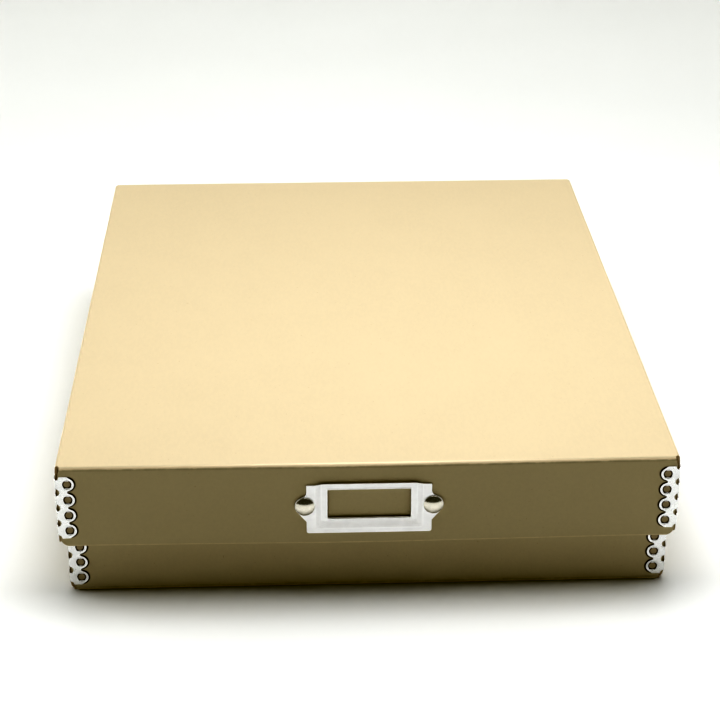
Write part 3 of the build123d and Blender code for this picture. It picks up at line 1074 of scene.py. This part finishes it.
def stage_wall(studio):
    """A pale wall far round the floor, turned from a profile of radius and height. Only the
    camera sees it, so it takes no light from the box."""
    reach = 11.0
    around = np.linspace(0, 2 * np.pi, 65)[:, None]
    radius = reach * np.array([0.995, 0.995, 0.9])
    rise = reach * np.array([-0.01, 1.5, 1.6])
    circle = (np.cos(around) * radius, np.sin(around) * radius, rise)
    points = np.stack(np.broadcast_arrays(*circle), axis=-1)
    quads = grid_quads(np.arange(points.size // 3).reshape(points.shape[:2]), flip=True)
    s = Shader("pale wall")
    s.finish(
        Base_Color=(0.0, 0.0, 0.0), Roughness=1.0, Emission_Color=tuple(studio.wall),
        Emission_Strength=1.0,
    )
    wall = make_piece("studio_wall", [(points.reshape(-1, 3), quads, 0)], [s.made])
    for rays in ("diffuse", "glossy", "transmission", "volume_scatter", "shadow"):
        setattr(wall, f"visible_{rays}", False)


def stage_lights(scene, studio):
    """Soft boxes close over the box and behind it, one on the backdrop, and a low warm one in
    front that the polished pieces don't mirror."""
    cool, plain, warm = (1.0, 1.0, 1.04), (1.0, 1.0, 0.985), (1.0, 0.95, 0.20)
    boxes = (
        # Name, place, width and depth, where it points, share of the key's power, tint
        ("key", (0.09, -0.12, 0.62), (0.42, 0.32), (0.09, -0.12, 0.0), 1.00, cool),
        ("overhead", (0.0, -0.04, 0.80), (0.60, 0.40), (0.0, -0.04, 0.0), 0.80, cool),
        ("back", (0.0, 1.10, 0.90), (1.20, 0.70), (0.0, 0.0, 0.0), 1.95, plain),
        ("back high", (0.0, 0.80, 1.50), (1.40, 0.80), (0.0, 0.0, 0.0), 0.85, plain),
        ("left", (-0.90, 0.10, 0.80), (0.70, 0.70), (0.0, 0.0, 0.0), 1.00, plain),
        ("backdrop", (0.0, 1.60, 1.90), (2.50, 0.60), (0.0, 2.60, 0.0), 4.60, plain),
        ("low front", (0.0, -2.20, 0.13), (2.00, 0.24), (0.0, 0.0, 0.03), 1.55, warm),
    )
    for name, place, size, aim, share, tint in boxes:
        light = bpy.data.lights.new(name, "AREA")
        light.shape, (light.size, light.size_y) = "RECTANGLE", size
        light.energy, light.color = studio.key * share, tint
        lamp = bpy.data.objects.new(f"{name} soft box", light)
        lamp.visible_glossy = tint != warm
        lamp.location = place
        sight = Vector(aim) - Vector(place)
        lamp.rotation_euler = sight.to_track_quat("-Z", "Y").to_euler()
        scene.collection.objects.link(lamp)


def stage_room(scene, studio):
    """A bright room behind and a dark warm one in front, so that the front wall and the upper
    halves of the pins see little light. The change is a narrow smooth-edged line overhead."""
    s = Shader("studio", "worlds", "Background")
    _, y, _ = s.axes("Generated")
    behind = s.node(
        "ShaderNodeMapRange", {}, {"Value": y, "From Min": -0.02, "From Max": 0.02}
    )
    scene.world = s.finish(
        Color=s.blend(behind, (1.0, 0.97, 0.70), (1.0, 1.0, 1.0)),
        Strength=behind * (studio.room_back - studio.room_front) + studio.room_front,
    )


def stage_tones(scene, studio):
    """A firm print: darks are pulled down along a power curve from the black level."""
    view = scene.view_settings
    view.view_transform = "Standard"
    view.use_curve_mapping = True
    view.curve_mapping.black_level = (studio.black,) * 3
    for share in (0.1, 0.25, 0.45, 0.7):
        view.curve_mapping.curves[3].points.new(share, share**studio.contrast)
    view.curve_mapping.update()


def stage_camera(scene, studio):
    """The camera stands back along its line of sight from a point low in the box."""
    camera = bpy.data.cameras.new("camera")
    camera.sensor_width, camera.lens = 36.0, studio.lens
    camera.clip_start, camera.clip_end = 0.05, 50.0
    view = bpy.data.objects.new("camera", camera)
    level = math.cos(studio.pitch)
    sight = Vector((
        math.sin(studio.yaw) * level, math.cos(studio.yaw) * level, -math.sin(studio.pitch),
    ))
    view.location = Vector(studio.target) - studio.distance * sight
    view.rotation_euler = (math.pi / 2 - studio.pitch, 0, -studio.yaw)
    scene.collection.objects.link(view)
    scene.camera = view


class ARCHIVE_OT_stage(bpy.types.Operator):
    """Make the stage: a pale floor swept up behind, soft light and the camera"""

    bl_idname = "archive.stage"
    bl_label = "Stage"

    def execute(self, context):
        scene, studio = context.scene, context.scene.archive_studio
        stage_floor(studio)
        stage_wall(studio)
        stage_lights(scene, studio)
        stage_room(scene, studio)
        stage_tones(scene, studio)
        stage_camera(scene, studio)
        return {"FINISHED"}


# ---------------------------------------------------------------- panel and main


class ARCHIVE_PT_panel(bpy.types.Panel):
    """Lists the pieces of the box"""

    bl_idname = "ARCHIVE_PT_panel"
    bl_label = "Archival box"
    bl_space_type = "VIEW_3D"
    bl_region_type = "UI"
    bl_category = "Archival box"

    def draw(self, context):
        for operator in OPERATORS:
            self.layout.operator(operator.bl_idname)


SETTINGS = {
    "archive_board": BoardSettings,
    "archive_strip": StripSettings,
    "archive_holder": HolderSettings,
    "archive_studio": StudioSettings,
}
OPERATORS = (
    ARCHIVE_OT_base_tray,
    ARCHIVE_OT_lid_tray,
    ARCHIVE_OT_corner_strips,
    ARCHIVE_OT_label_holder,
    ARCHIVE_OT_split_pins,
    ARCHIVE_OT_stage,
)
CLASSES = (*SETTINGS.values(), *OPERATORS, ARCHIVE_PT_panel)


def register():
    """Registers the classes and hangs each group of settings on the scene."""
    for item in CLASSES:
        bpy.utils.register_class(item)
    for name, group in SETTINGS.items():
        setattr(bpy.types.Scene, name, bpy.props.PointerProperty(type=group))


def unregister():
    """Takes away what register adds."""
    for name in SETTINGS:
        delattr(bpy.types.Scene, name)
    for item in reversed(CLASSES):
        bpy.utils.unregister_class(item)


def main():
    """Builds every piece and the stage."""
    register()
    for operator in OPERATORS:
        group, name = operator.bl_idname.split(".")
        getattr(getattr(bpy.ops, group), name)()


if __name__ == "__main__":
    main()
